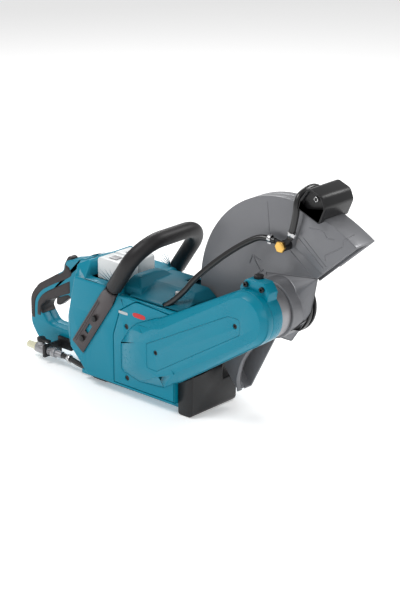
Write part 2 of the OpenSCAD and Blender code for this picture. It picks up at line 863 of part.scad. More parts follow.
module arm_cover() {
    color("teal")
        difference() {
            union() {
                hull() {
                    along_y(arm_y0, arm_y0 + 0.2)
                        arm_outline(arm_front_r - arm_bevel, arm_rear_r - arm_root_bevel, $fn = 32);
                    along_y(arm_y0 + 12, arm_y0 + 12.2)
                        arm_outline(arm_front_r - 0.4, arm_rear_r - 0.4, $fn = 32);
                }
                along_y(arm_y0 + 12.1, arm_y1)
                    arm_outline(arm_front_r, arm_rear_r);
                hull() {
                    along_y(arm_y0, arm_y0 + 0.1)
                        polygon(rounded(root_face));
                    along_y(near_y - 0.1, near_y)
                        polygon(rounded(root_base));
                }
            }
            along_y(arm_y0 - 1, arm_y0 + 1)
                polygon(rounded(arm_panel));
            along_y(arm_y0 + 7, arm_y1 + 1)
                arm_outline(arm_front_r - 12, arm_rear_r - 12);
            for (p = arm_screw_at) {
                bar_y(p, arm_y0 - 1, arm_y0 + 4.5, 4.4);
                bar_y(p, arm_y0 - 1, arm_y0 + 18, arm_screw_r);
            }
        }
}

module arm_screws() {
    color("black") {
        for (p = arm_screw_at)
            screw(p, arm_y0 + 2, arm_screw_r, 4.2, 2.5, 12.5);
        for (p = ear_bolt_at)
            screw(p, arm_y1 - 4.5, 2.5, 4.6, 4.5, 4.5);
        for (a = [45:90:315])
            bar_y(ray(a, retainer_screw_at), case_y1 - 8, case_y1 + 1.9, 2.1);
    }
}

module shaft_lock() {
    color("black") {
        bar_z([0, -80], 16.5, 58.4, 3);
        bar_z([0, -80], 58, 68, 8);
    }
}

module bearing_case() {
    color("darkgray")
        difference() {
            union() {
                bar_y([0, 0], arm_y2, -51, ring_r);
                bar_y([0, 0], -51.1, case_y1, case_r);
            }
            bar_y([0, 0], arm_y2 - 1, case_y1 - 4, bearing_r);
            bar_y([0, 0], case_y1 - 5, case_y1 + 1, spindle_r + 4);
            for (a = [45:90:315])
                bar_y(ray(a, retainer_screw_at), case_y1 - 8, case_y1 + 1, 2.1);
        }
}

module spindle_bearings() {
    color("silver") {
        ring_y([0, 0], arm_y2 + 0.4, arm_y2 + 0.4 + bearing_w, bearing_r, spindle_r + run);
        ring_y([0, 0], case_y1 - 4 - bearing_w, case_y1 - 4, bearing_r, spindle_r + run);
    }
}

module spindle() {
    color("silver")
        difference() {
            union() {
                bar_y([0, 0], -108, 1.4, spindle_r);
                bar_y([0, 0], -84, -76, spindle_r + 5);
            }
            bar_y([0, 0], -34, 2, 5.1);
            for (a = [0:90:270])
                rotate([0, a, 0])
                    bar_z([0, -80], spindle_r - 1, 30, 3 + fit);
        }
}

module inner_flange() {
    color("dimgray")
        difference() {
            union() {
                bar_y([0, 0], -11.2, -flange_gap, flange_r);
                bar_y([0, 0], -flange_gap - 0.1, flange_gap, seat_r);
            }
            bar_y([0, 0], -12, 3, spindle_r);
            ring_y([0, 0], -flange_gap - 1.2, -flange_gap + 0.01, flange_r - 14, seat_r + 4);
        }
}

module outer_flange() {
    color("dimgray")
        difference() {
            union() {
                bar_y([0, 0], flange_gap + 0.3, 8, flange_r);
                bar_y([0, 0], 7.9, 12, flange_r - 20);
            }
            bar_y([0, 0], 0, 13, 5.4);
            ring_y([0, 0], flange_gap, flange_gap + 1.5, flange_r - 14, 8);
        }
}

module flange_bolt() {
    color("silver") {
        bar_y([0, 0], -24, 14.2, 5);
        ring_y([0, 0], 12, 14.2, 14, 4.9);
        along_y(14.2, 21)
            circle(9.8, $fn = 6);
    }
}

module guard_retainer() {
    color("silver")
        difference() {
            ring_y([0, 0], case_y1, case_y1 + 2, 40, spindle_r + 4);
            for (a = [45:90:315])
                bar_y(ray(a, retainer_screw_at), case_y1 - 1, case_y1 + 3, 2.1);
        }
}

// ---- Guard ----
module guard_outline(d) {
    intersection() {
        circle(guard_r - d, $fn = 96);
        sector(front_blend, rear_blend);
    }
    intersection() {
        translate(ray(front_blend, -front_flare))
            circle(guard_r + front_flare - d, $fn = 96);
        sector(guard_front_a, front_blend);
    }
    intersection() {
        translate(ray(rear_blend, -rear_flare))
            circle(guard_r + rear_flare - d, $fn = 96);
        sector(rear_blend, guard_rear_a);
    }
}

module guard_shell(y_plate, y0, y1) {
    along_y(y_plate, y_plate + guard_t)
        guard_outline(0);
    along_y(y0, y1)
        difference() {
            guard_outline(0);
            guard_outline(guard_t);
        }
}

module guard_near_half() {
    color("gray")
        difference() {
            union() {
                guard_shell(-guard_w / 2, -guard_w / 2 + guard_t, 0);
                bar_y([0, 0], -50.4, -guard_w / 2 + guard_t, hub_r);
                hull() {
                    along_y(-guard_w / 2 - 0.1, -guard_w / 2)
                        polygon([[-36, 48], [72, 62], [60, 0], [20, -60], [-40, -60]]);
                    along_y(-guard_w / 2 - 12, -guard_w / 2 - 11.9)
                        polygon([[-32, 28], [42, 34], [44, 0], [16, -46], [-34, -46]]);
                }
            }
            bar_y([0, 0], -60, 0, case_r + run);
            along_y(-guard_w, -2)
                polygon(end_curve);
        }
}

// The hollowed lower edge of the near plate: points by angle and radius
end_curve = [ray(246, 76), ray(239, 92), ray(235.5, 115), ray(234.4, 135), ray(235, 155), ray(236.6,
    guard_r - 10),
    ray(239, guard_r + 9), ray(242.6, guard_r + 26), ray(guard_rear_a + 12, guard_r + 60),
        ray(guard_rear_a + 12, 60)];

module guard_far_half() {
    color("gray")
        difference() {
            guard_shell(guard_w / 2 - guard_t, 0, guard_w / 2 - guard_t);
            along_y(0, guard_w)
                union() {
                    circle(flange_r + 14);
                    rotate(-40)
                        square([flange_r + 14, flange_r + 14]);
                }
            sector_relief();
        }
}

// Lets the far plate stop short of the hub's open side
module sector_relief() {
    along_y(guard_w / 2 - guard_t - 1, guard_w)
        sector(guard_rear_a - 60, guard_rear_a + 1, flange_r + 20);
}

module guard_hood() {
    color("gray")
        difference() {
            intersection() {
                difference() {
                    along_y(-hood_w / 2, hood_w / 2)
                        guard_outline(-band_t - 0.2);
                    along_y(-hood_w / 2 + band_t, hood_w / 2 - band_t)
                        guard_outline(-0.2);
                }
                along_y(-hood_w, hood_w)
                    sector(guard_front_a, hood_a1);
            }
            along_y(-hood_w, hood_w)
                polygon([ray(hood_a1 + 6, hood_in_r), ray(guard_front_a - 3, hood_in_r), [0, 0]]);
        }
}

grip_profile = [[-24, -4, 4], [24, -4, 4], [25, 28, 10], [12, 42, 12], [-18, 42, 10], [-26, 14, 6]];
grip_screws = [[7, 2.6], [29, 4.2]];
grip_rim = 4.5;
grip_pocket = 7;      // depth of the hollow in each cheek

module at_grip() {
    rotate([0, -grip_a, 0])
        translate([guard_r + 2, 0, 0])
            rotate([0, 90, 0])
                children();
}

module guard_grip() {
    color("black")
        difference() {
            at_grip()
                along_y(-grip_w / 2, grip_w / 2)
                    polygon(rounded(grip_profile));
            at_grip()
                for (y = [-grip_w / 2 - 1, grip_w / 2 - grip_pocket])
                    along_y(y, y + grip_pocket + 1)
                        polygon(rounded(inset(grip_profile, grip_rim)));
            along_y(-hood_w / 2, hood_w / 2)
                guard_outline(-band_t - 0.2);
        }
}

module guard_screws() {
    color("silver")
        at_grip()
            for (s = grip_screws) {
                bar_y([0, s.x], -grip_w / 2 + grip_pocket - 3, -grip_w / 2 + grip_pocket, s.y);
                bar_y([0, s.x], grip_w / 2 - grip_pocket, grip_w / 2 - grip_pocket + 3, s.y);
            }
}

// A round stub from inside the union at p out to the hose's end at q
module spigot(p, q, r) {
    d = q - p;
    translate(p)
        rotate([0, acos(d.z / norm(d)), atan2(d.y, d.x)])
            translate([0, 0, 6])
                cylinder(h = norm(d) - 6, r = r);
}

module union_ring(y0) {
    difference() {
        children();
        bar_y(tee, y0 - 1, y0 + tee_l + 1, 4);
    }
}

// Cuts the hoses' ends out of a fitting
module clear_of_hoses() {
    difference() {
        union() {
            children();
        }
        swept_tube(upper_route, hose_r);
        swept_tube(cross_route, cross_r);
    }
}

module tee_fitting() {
    color("black") {
        union_ring(-guard_w / 2 - tee_l)
            clear_of_hoses() {
                bar_y(tee, -guard_w / 2 - tee_l, -guard_w / 2, 9);
                spigot([tee.x, -tee_y, tee.y], upper_route[len(upper_route) - 1], 4.6);
                spigot([tee.x, -tee_y, tee.y], cross_route[0], 4.4);
            }
        union_ring(guard_w / 2)
            clear_of_hoses() {
                bar_y(tee, guard_w / 2, guard_w / 2 + tee_l, 9);
                spigot([tee.x, tee_y, tee.y], cross_route[len(cross_route) - 1], 4.4);
            }
    }
}

module banjo_bolts() {
    color("goldenrod") {
        bar_y(tee, -guard_w / 2 - tee_l, -guard_w / 2, 4);
        bar_y(tee, guard_w / 2, guard_w / 2 + tee_l, 4);
        along_y(-guard_w / 2 - tee_l - 6, -guard_w / 2 - tee_l)
            translate(tee)
                circle(10.4, $fn = 6);
        along_y(guard_w / 2 + tee_l, guard_w / 2 + tee_l + 6)
            translate(tee)
                circle(10.4, $fn = 6);
    }
}

// ---- Water line ----
module upper_hose() {
    color("black")
        swept_tube(upper_route, hose_r);
}

module crossover_hose() {
    color("black")
        swept_tube(cross_route, cross_r);
}

module lower_hose() {
    color("black")
        swept_tube(lower_route, hose_r);
}

// A band clip round a hose at ring i of its swept path
module clamp(route, i, r, gap = 0.1, w = 7) {
    path = smooth(route, 3);
    t = tangent(path, i);
    translate(path[i])
        rotate([0, acos(t.z), atan2(t.y, t.x)])
            translate([0, 0, -w / 2])
                difference() {
                    union() {
                        cylinder(h = w, r = r + 1.6);
                        translate([r, -2, 0])
                            cube([4.5, 4, w]);
                    }
                    translate([0, 0, -1])
                        cylinder(h = w + 2, r = r + gap);
                }
}

module hose_clamps() {
    color("silver")
        clamp(lower_route, 2, hose_r);
}

module guard_hose_clamps() {
    color("silver") {
        clamp(cross_route, 1, cross_r);
        clamp(cross_route, len(smooth(cross_route, 3)) - 2, cross_r);
        clamp(upper_route, len(smooth(upper_route, 3)) - 2, hose_r, turn_gap);
    }
}

module bar_x(p, x0, x1, r) {
    translate([x0, p.y, p.z])
        rotate([0, 90, 0])
            cylinder(h = x1 - x0, r = r);
}

module inlet_nipple() {
    color("beige")
        difference() {
            union() {
                bar_x(valve, valve.x - 34, valve.x - 34 + nipple_l, nipple_r);
                bar_x(valve, valve.x - 14, valve.x - 9, nipple_r + 2.5);
            }
            bar_x(valve, valve.x - 35, valve.x - 8, 4);
        }
}

module valve_body() {
    color("silver")
        difference() {
            union() {
                bar_x(valve, valve.x - 9, valve.x + 14, 10);
                bar_x(valve, valve.x + 14, valve.x + 22, 8);
                bar_x(valve, valve.x + 22, valve.x + 56, 6.4);
                bar_x(valve, valve.x + 30, valve.x + 40, 9);
                bar_z(flat(valve), valve.z, valve.z + 14, 7);
            }
            bar_x(valve, valve.x - 10, valve.x + 57, 3.6);
            bar_z(flat(valve), valve.z, valve.z + 15, 3 + run);
        }
}

module valve_lever() {
    color("black")
        union() {
            bar_z(flat(valve), valve.z + 5, valve.z + 16, 3);
            bar_z(flat(valve), valve.z + 14.3, valve.z + 21, 8);
            block(valve + [-5, -4.5, 14.8], valve + [22, 4.5, 19.5]);
        }
}

module valve_bracket() {
    color("black")
        difference() {
            union() {
                block([valve.x + 15, valve.y - 12, valve.z - 11], [valve.x + 21, handle_near,
                    valve.z + 12]);
                block([valve.x + 15, handle_near - 5, valve.z - 2], [valve.x + 50, handle_near,
                    valve.z + 20]);
            }
            bar_x(valve, valve.x + 10, valve.x + 30, 8);
        }
}

// ---- Front handle ----
// The arch of the front handle in the sloping plane: u across the saw, v up the slope
module arch(r, v0) {
    w = tube_far_y - tube_near_y;
    top = tube_top;
    b = tube_bend;
    for (u = [0, w])
        translate([u, v0, 0])
            rotate([-90, 0, 0])
                cylinder(h = top - b - v0, r = r);
    translate([b, top, 0])
        rotate([0, 90, 0])
            cylinder(h = w - 2 * b, r = r);
    translate([b, top - b, 0])
        rotate([0, 0, 90])
            rotate_extrude(angle = 90)
                translate([b, 0])
                    circle(r);
    translate([w - b, top - b, 0])
        rotate_extrude(angle = 90)
            translate([b, 0])
                circle(r);
}

// Frame of the handle's sloping plane: X across the saw, Y up the slope
module slope_frame() {
    translate([foot.x, tube_near_y, foot.y])
        multmatrix([[0, cos(tube_tilt), sin(tube_tilt), 0], [1, 0, 0, 0], [0, sin(tube_tilt),
            -cos(tube_tilt), 0]])
            children();
}

// Where the leg changes from the flattened foot to the round tube
module leg_taper() {
    hull() {
        translate([-foot_t / 2, 53, -foot_w / 2])
            cube([foot_t, 1, foot_w]);
        translate([0, 78, 0])
            rotate([-90, 0, 0])
                cylinder(h = 1, r = tube_r, $fn = 32);
    }
}

module foot_plate(u) {
    translate([u, 0, 0])
        difference() {
            union() {
                translate([-foot_t / 2, -78, -foot_w / 2])
                    cube([foot_t, 132, foot_w]);
                leg_taper();
            }
            for (v = bolt_v)
                translate([-10, v, 0])
                    rotate([0, 90, 0])
                        cylinder(h = 20, r = bolt_r);
            translate([-10, -38, -4])
                cube([20, 20, 8]);
        }
}

module front_handle_tube() {
    color("rosybrown")
        slope_frame() {
            arch(tube_r, 79);
            foot_plate(0);
            foot_plate(tube_far_y - tube_near_y);
        }
}

module front_handle_sleeve() {
    color("dimgray")
        slope_frame()
            difference() {
                arch(tube_r + sleeve_t, 84);
                arch(tube_r, 80);
            }
}

module front_handle_bolts() {
    color("black")
        slope_frame()
            for (v = bolt_v)
                translate([0, v, 0])
                    rotate([0, 90, 0]) {
                        translate([0, 0, -foot_t / 2 - bolt_head.y])
                            cylinder(h = bolt_head.y, r = bolt_head.x);
                        translate([0, 0, -foot_t / 2 - 1])
                            cylinder(h = bolt_l + foot_t / 2 + 1, r = bolt_r);
                        translate([0, 0, tube_far_y - tube_near_y + foot_t / 2])
                            cylinder(h = bolt_head.y, r = bolt_head.x);
                        translate([0, 0, tube_far_y - tube_near_y - bolt_l])
                            cylinder(h = bolt_l + foot_t / 2 + 1, r = bolt_r);
                    }
}

housing_right();
housing_left();
top_cover();
side_cover();
bottom_pan();
base_block();
rear_feet();
housing_screws();
handle_rubber_back();
handle_rubber_front();
trigger_switch();
trigger();
lock_off_lever();
control_board();
battery_tray();
battery_terminals();
battery_right();
battery_left();
battery_button_right();
battery_button_left();
power_button();
motor_case();
motor_stator();
motor_rotor();
motor_bearings();
motor_pulley();
cooling_fan();
drive_belt();
arm_base();
arm_cover();
arm_screws();
shaft_lock();
bearing_case();
spindle_bearings();
spindle();
spindle_pulley();
inner_flange();
outer_flange();
flange_bolt();
guard_retainer();
guard_near_half();
guard_far_half();
guard_hood();
guard_grip();
guard_screws();
tee_fitting();
banjo_bolts();
crossover_hose();
upper_hose();
lower_hose();
hose_clamps();
guard_hose_clamps();
inlet_nipple();
valve_body();
valve_lever();
valve_bracket();
front_handle_tube();
front_handle_sleeve();
front_handle_bolts();
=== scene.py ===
import math

import bmesh
import bpy
import numpy as np
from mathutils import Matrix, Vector


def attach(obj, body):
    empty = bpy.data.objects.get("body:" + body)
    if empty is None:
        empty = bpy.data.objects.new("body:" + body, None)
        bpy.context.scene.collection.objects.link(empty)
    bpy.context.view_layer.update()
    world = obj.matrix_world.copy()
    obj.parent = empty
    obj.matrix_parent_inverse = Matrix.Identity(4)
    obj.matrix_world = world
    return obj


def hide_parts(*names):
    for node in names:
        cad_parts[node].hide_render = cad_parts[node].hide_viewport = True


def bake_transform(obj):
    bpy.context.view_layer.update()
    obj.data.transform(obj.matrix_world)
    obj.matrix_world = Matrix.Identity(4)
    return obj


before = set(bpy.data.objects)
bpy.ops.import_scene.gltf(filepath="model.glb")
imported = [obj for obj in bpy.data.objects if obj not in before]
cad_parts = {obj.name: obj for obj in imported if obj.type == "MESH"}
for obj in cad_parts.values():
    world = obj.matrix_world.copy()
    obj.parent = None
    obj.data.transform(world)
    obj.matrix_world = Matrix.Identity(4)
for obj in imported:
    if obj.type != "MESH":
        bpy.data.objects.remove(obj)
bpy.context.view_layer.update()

# ---- Camera ----
# A long lens looks at the saw from its right front, a little above it.
AIM = Vector((-0.1697, -0.035, -0.0294))
EYE = Vector((1.8681, -2.2864, 1.0813))
lens = bpy.data.cameras.new("camera")
lens.lens = 113.2
lens.sensor_width = 36
lens.clip_end = 60
camera = bpy.data.objects.new("camera", lens)
bpy.context.scene.collection.objects.link(camera)
camera.location = EYE
camera.rotation_euler = (AIM - EYE).to_track_quat("-Z", "Y").to_euler()
bpy.context.scene.camera = camera

# ---- Floor and light ----
# A plain pale floor, white surroundings that light the saw softly, and four large
# soft lights: the key from the upper left, a fill, and two behind for the rims.
world = bpy.data.worlds.new("studio")
bpy.context.scene.world = world
world.use_nodes = True
sky = world.node_tree
sky.nodes["Background"].inputs["Color"].default_value = (1, 1, 1, 1)
seen = sky.nodes.new("ShaderNodeLightPath")
level = sky.nodes.new("ShaderNodeMapRange")
level.inputs["To Min"].default_value = 0.42
level.inputs["To Max"].default_value = 1.0
sky.links.new(seen.outputs["Is Camera Ray"], level.inputs["Value"])
sky.links.new(level.outputs["Result"], sky.nodes["Background"].inputs["Strength"])
bpy.context.scene.view_settings.view_transform = "Standard"


def soft_light(name, spot, aim, size, power):
    """A square soft light at spot, turned towards aim."""
    data = bpy.data.lights.new(name, "AREA")
    data.shape, data.size, data.energy = "SQUARE", size, power
    o = bpy.data.objects.new(name, data)
    bpy.context.scene.collection.objects.link(o)
    o.location = spot
    o.rotation_euler = (Vector(aim) - Vector(spot)).to_track_quat("-Z", "Y").to_euler()


soft_light("key", (-0.9, -1.5, 2.1), (-0.15, 0, 0), 1.0, 34)
soft_light("fill", (2.2, -0.9, 1.0), (0, 0, 0), 1.2, 9)
soft_light("back", (-1.8, 1.2, 1.6), (-0.2, 0, 0), 1.0, 22)
soft_light("rim", (0.85, 1.75, 1.75), (0.05, 0, 0.1), 0.8, 26)


def link(name, mesh):
    """Adds a mesh to the scene as an object at the origin."""
    o = bpy.data.objects.new(name, mesh)
    bpy.context.scene.collection.objects.link(o)
    return o


floor_mesh = bpy.data.meshes.new("floor")
FLOOR_Z = -0.2203
FLOOR_HALF = 14
corners = [(-1, -1), (1, -1), (1, 1), (-1, 1)]
floor_mesh.from_pydata([(x * FLOOR_HALF, y * FLOOR_HALF, FLOOR_Z) for x, y in corners], [], [(0, 1, 2, 3)])
floor = link("floor", floor_mesh)
floor_look = bpy.data.materials.new("floor_look")
floor_look.use_nodes = True
floor_shader = floor_look.node_tree.nodes["Principled BSDF"]
floor_shader.inputs["Base Color"].default_value = (0.97, 0.97, 0.97, 1)
floor_shader.inputs["Roughness"].default_value = 0.9
floor_shader.inputs["Emission Color"].default_value = (1, 1, 1, 1)
floor_shader.inputs["Emission Strength"].default_value = 0.3
floor.data.materials.append(floor_look)

# ---- Housing halves ----
# The two moulded halves of the body and the rear handle, in glossy filled nylon,
# screwed together from the left side.
MM = 0.001


def paint(name, dark, light, rough, metal=0.0, patch=18.0, grain=900.0, bump=0.06, coat=0.0,
          spread=0.08, shine=0.4):
    """A procedural finish: two close shades in soft patches, uneven gloss, fine scuffs and a grain."""
    m = bpy.data.materials.new(name)
    m.use_nodes = True
    t = m.node_tree
    p = t.nodes["Principled BSDF"]
    p.inputs["Metallic"].default_value = metal
    p.inputs["Coat Weight"].default_value = coat
    p.inputs["Coat Roughness"].default_value = 0.12
    p.inputs["Specular IOR Level"].default_value = shine
    at = t.nodes.new("ShaderNodeTexCoord")
    broad = t.nodes.new("ShaderNodeTexNoise")
    broad.inputs["Scale"].default_value = patch
    broad.inputs["Detail"].default_value = 6
    fine = t.nodes.new("ShaderNodeTexNoise")
    fine.inputs["Scale"].default_value = grain
    fine.inputs["Detail"].default_value = 3
    tint = t.nodes.new("ShaderNodeMix")
    tint.data_type = "RGBA"
    tint.inputs[6].default_value = (*dark, 1)
    tint.inputs[7].default_value = (*light, 1)
    stretch = t.nodes.new("ShaderNodeMapping")
    stretch.inputs["Scale"].default_value = (9, 60, 34)
    stretch.inputs["Rotation"].default_value = (0.3, 0.5, 0.2)
    scuff = t.nodes.new("ShaderNodeTexNoise")
    scuff.inputs["Scale"].default_value = 5
    scuff.inputs["Detail"].default_value = 8
    scuff.inputs["Roughness"].default_value = 0.7
    both = t.nodes.new("ShaderNodeMath")
    both.operation = "MULTIPLY"
    gloss = t.nodes.new("ShaderNodeMapRange")
    gloss.inputs["From Min"].default_value = 0.12
    gloss.inputs["From Max"].default_value = 0.4
    gloss.inputs["To Min"].default_value = rough - spread / 2
    gloss.inputs["To Max"].default_value = rough + spread / 2
    relief = t.nodes.new("ShaderNodeBump")
    relief.inputs["Strength"].default_value = bump
    relief.inputs["Distance"].default_value = 0.0004
    t.links.new(at.outputs["Object"], broad.inputs["Vector"])
    t.links.new(at.outputs["Object"], fine.inputs["Vector"])
    t.links.new(at.outputs["Object"], stretch.inputs["Vector"])
    t.links.new(stretch.outputs["Vector"], scuff.inputs["Vector"])
    t.links.new(broad.outputs["Fac"], tint.inputs[0])
    t.links.new(tint.outputs[2], p.inputs["Base Color"])
    t.links.new(broad.outputs["Fac"], both.inputs[0])
    t.links.new(scuff.outputs["Fac"], both.inputs[1])
    t.links.new(both.outputs["Value"], gloss.inputs["Value"])
    t.links.new(gloss.outputs["Result"], p.inputs["Roughness"])
    t.links.new(fine.outputs["Fac"], relief.inputs["Height"])
    t.links.new(relief.outputs["Normal"], p.inputs["Normal"])
    return m


def carried(o, body, slot, *nodes):
    """Fixes a piece to its body and hides the CAD nodes that it stands for; the slot for its finish is not
    used.
    """
    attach(o, body)
    if nodes:
        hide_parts(*nodes)
    return o


def dressed(node, skin, body, slot, width=0.8, angle=32, steps=3):
    """The CAD node's own shape with its points merged and its sharp edges rounded."""
    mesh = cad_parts[node].data.copy()
    b = bmesh.new()
    b.from_mesh(mesh)
    bmesh.ops.remove_doubles(b, verts=b.verts, dist=2e-6)
    bmesh.ops.dissolve_limit(b, angle_limit=math.radians(0.4), verts=b.verts, edges=b.edges)
    b.to_mesh(mesh)
    b.free()
    mesh.materials.clear()
    mesh.materials.append(skin)
    mesh.shade_smooth()
    o = link(node + "_shown", mesh)
    if width:
        bevel = o.modifiers.new("edges", "BEVEL")
        bevel.width = width * MM
        bevel.segments = steps
        bevel.limit_method = "ANGLE"
        bevel.angle_limit = math.radians(angle)
        bevel.harden_normals = True
        bevel.use_clamp_overlap = False
    return carried(o, body, slot, node)


teal = paint("teal_plastic", (0.0, 0.2, 0.295), (0.0, 0.222, 0.322), 0.36, bump=0.05, shine=0.22)
dressed("housing_right", teal, "saw", "housing_plastic", 1.6)
dressed("housing_left", teal, "saw", "housing_plastic", 1.6)
black_steel = paint("black_steel", (0.01, 0.01, 0.011), (0.018, 0.018, 0.019), 0.32, metal=0.3)
dressed("housing_screws", black_steel, "saw", "black_steel", 0.2, steps=2)

# ---- Covers ----
# The darker top panel with its arched ridge, the side cover over the belt end, and
# the skid pan, all moulded and screwed to the housing.
dark_teal = paint("dark_teal_plastic", (0.0, 0.1, 0.15), (0.0, 0.115, 0.17), 0.55, bump=0.12,
    grain=1400, shine=0.2)
dressed("top_cover", dark_teal, "saw", "cover_plastic", 1.6)
dressed("side_cover", teal, "saw", "housing_plastic", 0.8)
dressed("bottom_pan", teal, "saw", "housing_plastic", 0.8)
grey_plastic = paint("grey_plastic", (0.3, 0.3, 0.31), (0.36, 0.36, 0.37), 0.3)
dressed("power_button", grey_plastic, "power_button", "black_plastic", 0.5)


def grid_mesh(name, grid, skin, wrap=False, caps=False):
    """A surface through a grid of points; the rows may close on themselves, and the ends may be filled."""
    n, k = grid.shape[:2]
    i = np.arange(n * k).reshape(n, k)
    j = np.roll(i, -1, axis=1) if wrap else i[:, 1:]
    a = i if wrap else i[:, :-1]
    quads = np.stack((a[:-1], a[1:], j[1:], j[:-1]), -1).reshape(-1, 4).tolist()
    if caps:
        quads += [i[0].tolist(), i[-1][::-1].tolist()]
    mesh = bpy.data.meshes.new(name)
    mesh.from_pydata((grid.reshape(-1, 3) * MM).tolist(), [], quads)
    mesh.materials.append(skin)
    mesh.shade_smooth()
    b = bmesh.new()
    b.from_mesh(mesh)
    bmesh.ops.recalc_face_normals(b, faces=b.faces)
    b.to_mesh(mesh)
    b.free()
    return link(name, mesh)


def pad(name, middle, half, height, corner, tilt, skin, body, slot):
    """A low plate on a face that looks to -Y: rings of a rounded rectangle (the superellipse
    |x|^p + |z|^p = 1) that step outwards, up and inwards, turned by tilt in the plane."""
    a = np.linspace(0, 2 * np.pi, 48, endpoint=False)
    c, s = np.cos(a), np.sin(a)
    r = (np.abs(c) ** corner + np.abs(s) ** corner) ** (-1 / corner)
    x, z = half[0] * r * c, half[1] * r * s
    steps = np.array([[1.0, 0.0], [1.0, 0.6], [0.98, 0.9], [0.93, 1.0], [0.01, 1.0]])
    q = np.radians(tilt)
    px = steps[:, :1] * (x * np.cos(q) - z * np.sin(q)) + middle[0]
    pz = steps[:, :1] * (x * np.sin(q) + z * np.cos(q)) + middle[2]
    py = middle[1] - height * steps[:, 1:] + 0 * px
    o = grid_mesh(name, np.stack((px, py, pz), -1), skin, wrap=True, caps=True)
    return carried(o, body, slot)


badge_red = paint("red_badge_plastic", (0.5, 0.008, 0.012), (0.56, 0.012, 0.016), 0.3)
badge_pale = paint("pale_badge_plastic", (0.42, 0.46, 0.47), (0.48, 0.52, 0.53), 0.35)
pad("blank_oval_badge", (-243, -110, -57), (15, 4.4), 0.5, 3, 0, badge_red, "saw", "housing_plastic")
pad("blank_badge", (-281, -110, -60), (11, 2.6), 0.5, 6, 0, badge_pale, "saw", "housing_plastic")

# ---- Base ----
# The black moulded block that the saw stands on in front, bolted under the motor,
# and the two soft feet below the rear of the pan.
black = paint("black_plastic", (0.008, 0.008, 0.009), (0.014, 0.014, 0.015), 0.4, bump=0.15, shine=0.35)
rubber = paint("soft_rubber", (0.009, 0.008, 0.009), (0.015, 0.014, 0.015), 0.5, bump=0.25, grain=1200,
    shine=0.35)
dressed("base_block", black, "saw", "black_plastic", 2.5)
dressed("rear_feet", rubber, "saw", "soft_rubber", 1.0)

# ---- Rear handle ----
# The soft rubber on the grip's back and inside, the trigger under it and the
# lock-off lever on top, both turning on pins in the switch block.
grip_grey = paint("handle_rubber", (0.022, 0.018, 0.019), (0.032, 0.027, 0.028), 0.5, bump=0.25,
    grain=1300, shine=0.35)
dressed("handle_rubber_back", grip_grey, "saw", "soft_rubber", 1.0)
dressed("handle_rubber_front", grip_grey, "saw", "soft_rubber", 0.8)
def along(points, n):
    """Points spread evenly by length along a smooth path (Catmull-Rom cubics) through the given points."""
    p = np.asarray(points, float)
    p = np.vstack((2 * p[:1] - p[1:2], p, 2 * p[-1:] - p[-2:-1]))
    t = np.linspace(0, len(p) - 3, 40 * (len(p) - 3) + 1)
    i = np.minimum(t.astype(int), len(p) - 4)
    f = (t - i)[:, None]
    a, b, c, d = p[i], p[i + 1], p[i + 2], p[i + 3]
    path = 0.5 * (2 * b + (c - a) * f + (2 * a - 5 * b + 4 * c - d) * f**2 + (3 * b - a - 3 * c + d) * f**3)
    s = np.concatenate(([0], np.cumsum(np.linalg.norm(np.diff(path, axis=0), axis=1))))
    at = np.linspace(0, s[-1], n)
    return np.stack([np.interp(at, s, path[:, k]) for k in range(3)], -1)


def side_wrap(name, outer, inner, y, out, skin):
    """A soft panel on the grip's side, between two lines (x, z) in mm: each point runs straight
    from the outer line to the inner one, and stands 1.4 mm out with rounded borders, 1 - u^6."""
    a = along([(x, y, z) for x, z in outer], 70)
    b = along([(x, y, z) for x, z in inner], 70)
    u = np.linspace(-1, 1, 15)
    v = np.linspace(-1, 1, 70)
    mix = ((u + 1) / 2)[None, :, None]
    grid = a[:, None] * (1 - mix) + b[:, None] * mix
    rise = 1.4 * (1 - u**6)[None, :] * (1 - v**40)[:, None] - 0.1
    grid[:, :, 1] += out * rise
    return carried(grid_mesh(name, grid, skin), "saw", "soft_rubber")


back_outer = [(-484, -33), (-493, -50), (-530, -72), (-558, -90), (-576, -112), (-578.5, -130),
    (-578.5, -158)]
back_inner = [(-474, -38), (-472, -54), (-520, -81), (-549, -99), (-565, -118), (-569, -134), (-570, -158)]
hole_outer = [(-474, -63), (-510, -83), (-542, -102), (-558, -119), (-562, -134), (-563, -150)]
hole_inner = [(-474, -87), (-510, -103), (-536, -114), (-548, -125), (-553, -134), (-554, -150)]
for y, out, where in ((-51, -1, "near"), (-17, 1, "far")):
    side_wrap("grip_back_" + where, back_outer, back_inner, y, out, grip_grey)
    side_wrap("grip_inside_" + where, hole_outer, hole_inner, y, out, grip_grey)
dressed("trigger_switch", black, "saw", "black_plastic", 0.3)
dressed("trigger", black, "trigger", "black_plastic", 1.2)
dressed("lock_off_lever", grip_grey, "lock_off_lever", "soft_rubber", 1.2)

# ---- Batteries ----
# Two pale packs side by side in a black tray, each with a grey release button;
# the brass blades stand up from the floor of the tray into the packs.
pale = paint("battery_plastic", (0.66, 0.68, 0.69), (0.74, 0.76, 0.76), 0.32, bump=0.05, shine=0.5)
dressed("battery_tray", black, "saw", "black_plastic", 0.6)
for side in ("right", "left"):
    dressed("battery_" + side, pale, "battery_" + side, "battery_plastic", 3.5, steps=5)
    dressed("battery_button_" + side, grey_plastic, "battery_button_" + side, "circuit_plastic", 0.8)
brass = paint("brass", (0.72, 0.42, 0.1), (0.8, 0.5, 0.15), 0.22, metal=1.0)
dressed("battery_terminals", brass, "saw", "terminal_brass", 0.1, steps=1)

